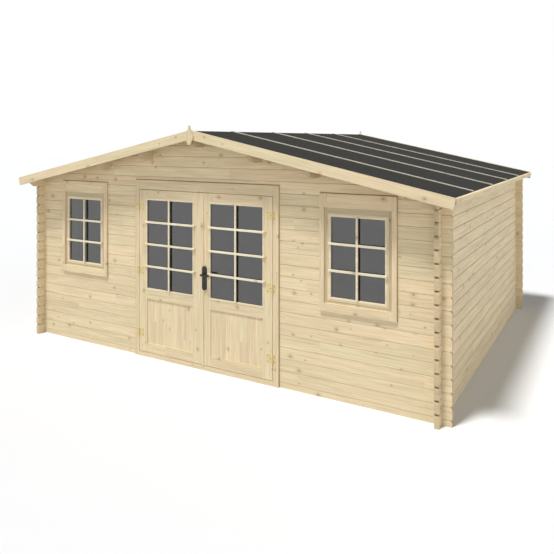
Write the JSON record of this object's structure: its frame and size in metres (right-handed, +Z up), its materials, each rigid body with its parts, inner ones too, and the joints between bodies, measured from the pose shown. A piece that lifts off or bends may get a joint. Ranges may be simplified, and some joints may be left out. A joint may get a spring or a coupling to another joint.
{
  "type": "log cabin",
  "caption": "Garden log cabin with interlocking log walls, a shallow gable roof on purlins, a part-glazed double door with a lever handle and barred windows.",
  "frame": {"origin": "on the ground under the middle of the roof", "axes": "+X to the right along the front, +Y from the front to the back, +Z up"},
  "size_m": [5.32, 4.61, 2.541],
  "materials": {
    "spruce": "planed untreated spruce",
    "floor_wood": "planed untreated spruce",
    "roof_felt": "mineral roofing felt",
    "felt_battens": "weathered batten",
    "glass": "dark reflecting glass",
    "hinge_brass": "yellow passivated steel",
    "black_metal": "black enamel"
  },
  "bodies": {
    "cabin": {"door_head": "spruce", "door_jambs": "spruce", "door_threshold": "spruce", "floor_bearers": "floor_wood", "floor_deck": "floor_wood", "front_bargeboards": "spruce", "front_finial": "spruce", "front_gable_logs": "spruce", "front_top_log": "spruce", "front_wall_left_logs": "spruce", "front_wall_right_logs": "spruce", "jamb_hinges": "hinge_brass", "left_eave_strip": "spruce", "left_felt_battens": "felt_battens", "left_purlins": "spruce", "left_roof_deck": "spruce", "left_roof_felt": "roof_felt", "left_wall_logs": "spruce", "left_window_glass": "glass", "left_window_lining": "spruce", "left_window_sash": "spruce", "left_window_trim": "spruce", "rear_bargeboards": "spruce", "rear_finial": "spruce", "rear_gable_logs": "spruce", "rear_wall_logs": "spruce", "ridge_purlin": "spruce", "right_eave_strip": "spruce", "right_felt_battens": "felt_battens", "right_purlins": "spruce", "right_roof_deck": "spruce", "right_roof_felt": "roof_felt", "right_wall_logs": "spruce", "right_window_glass": "glass", "right_window_lining": "spruce", "right_window_sash": "spruce", "right_window_trim": "spruce"},
    "left_leaf": {"left_leaf_stiles": "spruce", "left_leaf_rails": "spruce", "left_leaf_panel": "spruce", "left_leaf_glass": "glass", "left_leaf_hinges": "hinge_brass"},
    "right_leaf": {"right_leaf_stiles": "spruce", "right_leaf_rails": "spruce", "right_leaf_panel": "spruce", "right_leaf_glass": "glass", "right_leaf_hinges": "hinge_brass", "meeting_strip": "spruce", "handle_plates": "black_metal"},
    "handle": {"handle_lever": "black_metal"}
  },
  "joints": [
    {"name": "left_door", "type": "hinge", "parent": "cabin", "child": "left_leaf", "pos_m": [-0.8605, -2.097, 0.95], "axis": [0, 0, -1], "range_deg": [0, 110]},
    {"name": "right_door", "type": "hinge", "parent": "cabin", "child": "right_leaf", "pos_m": [0.8605, -2.097, 0.95], "axis": [0, 0, 1], "range_deg": [0, 110]},
    {"name": "door_handle", "type": "hinge", "parent": "right_leaf", "child": "handle", "pos_m": [0.043, -2.07, 1.003], "axis": [0, 1, 0], "range_deg": [0, 40], "stiffness_Nm_per_rad": 0.8, "springref_deg": -45.84}
  ]
}
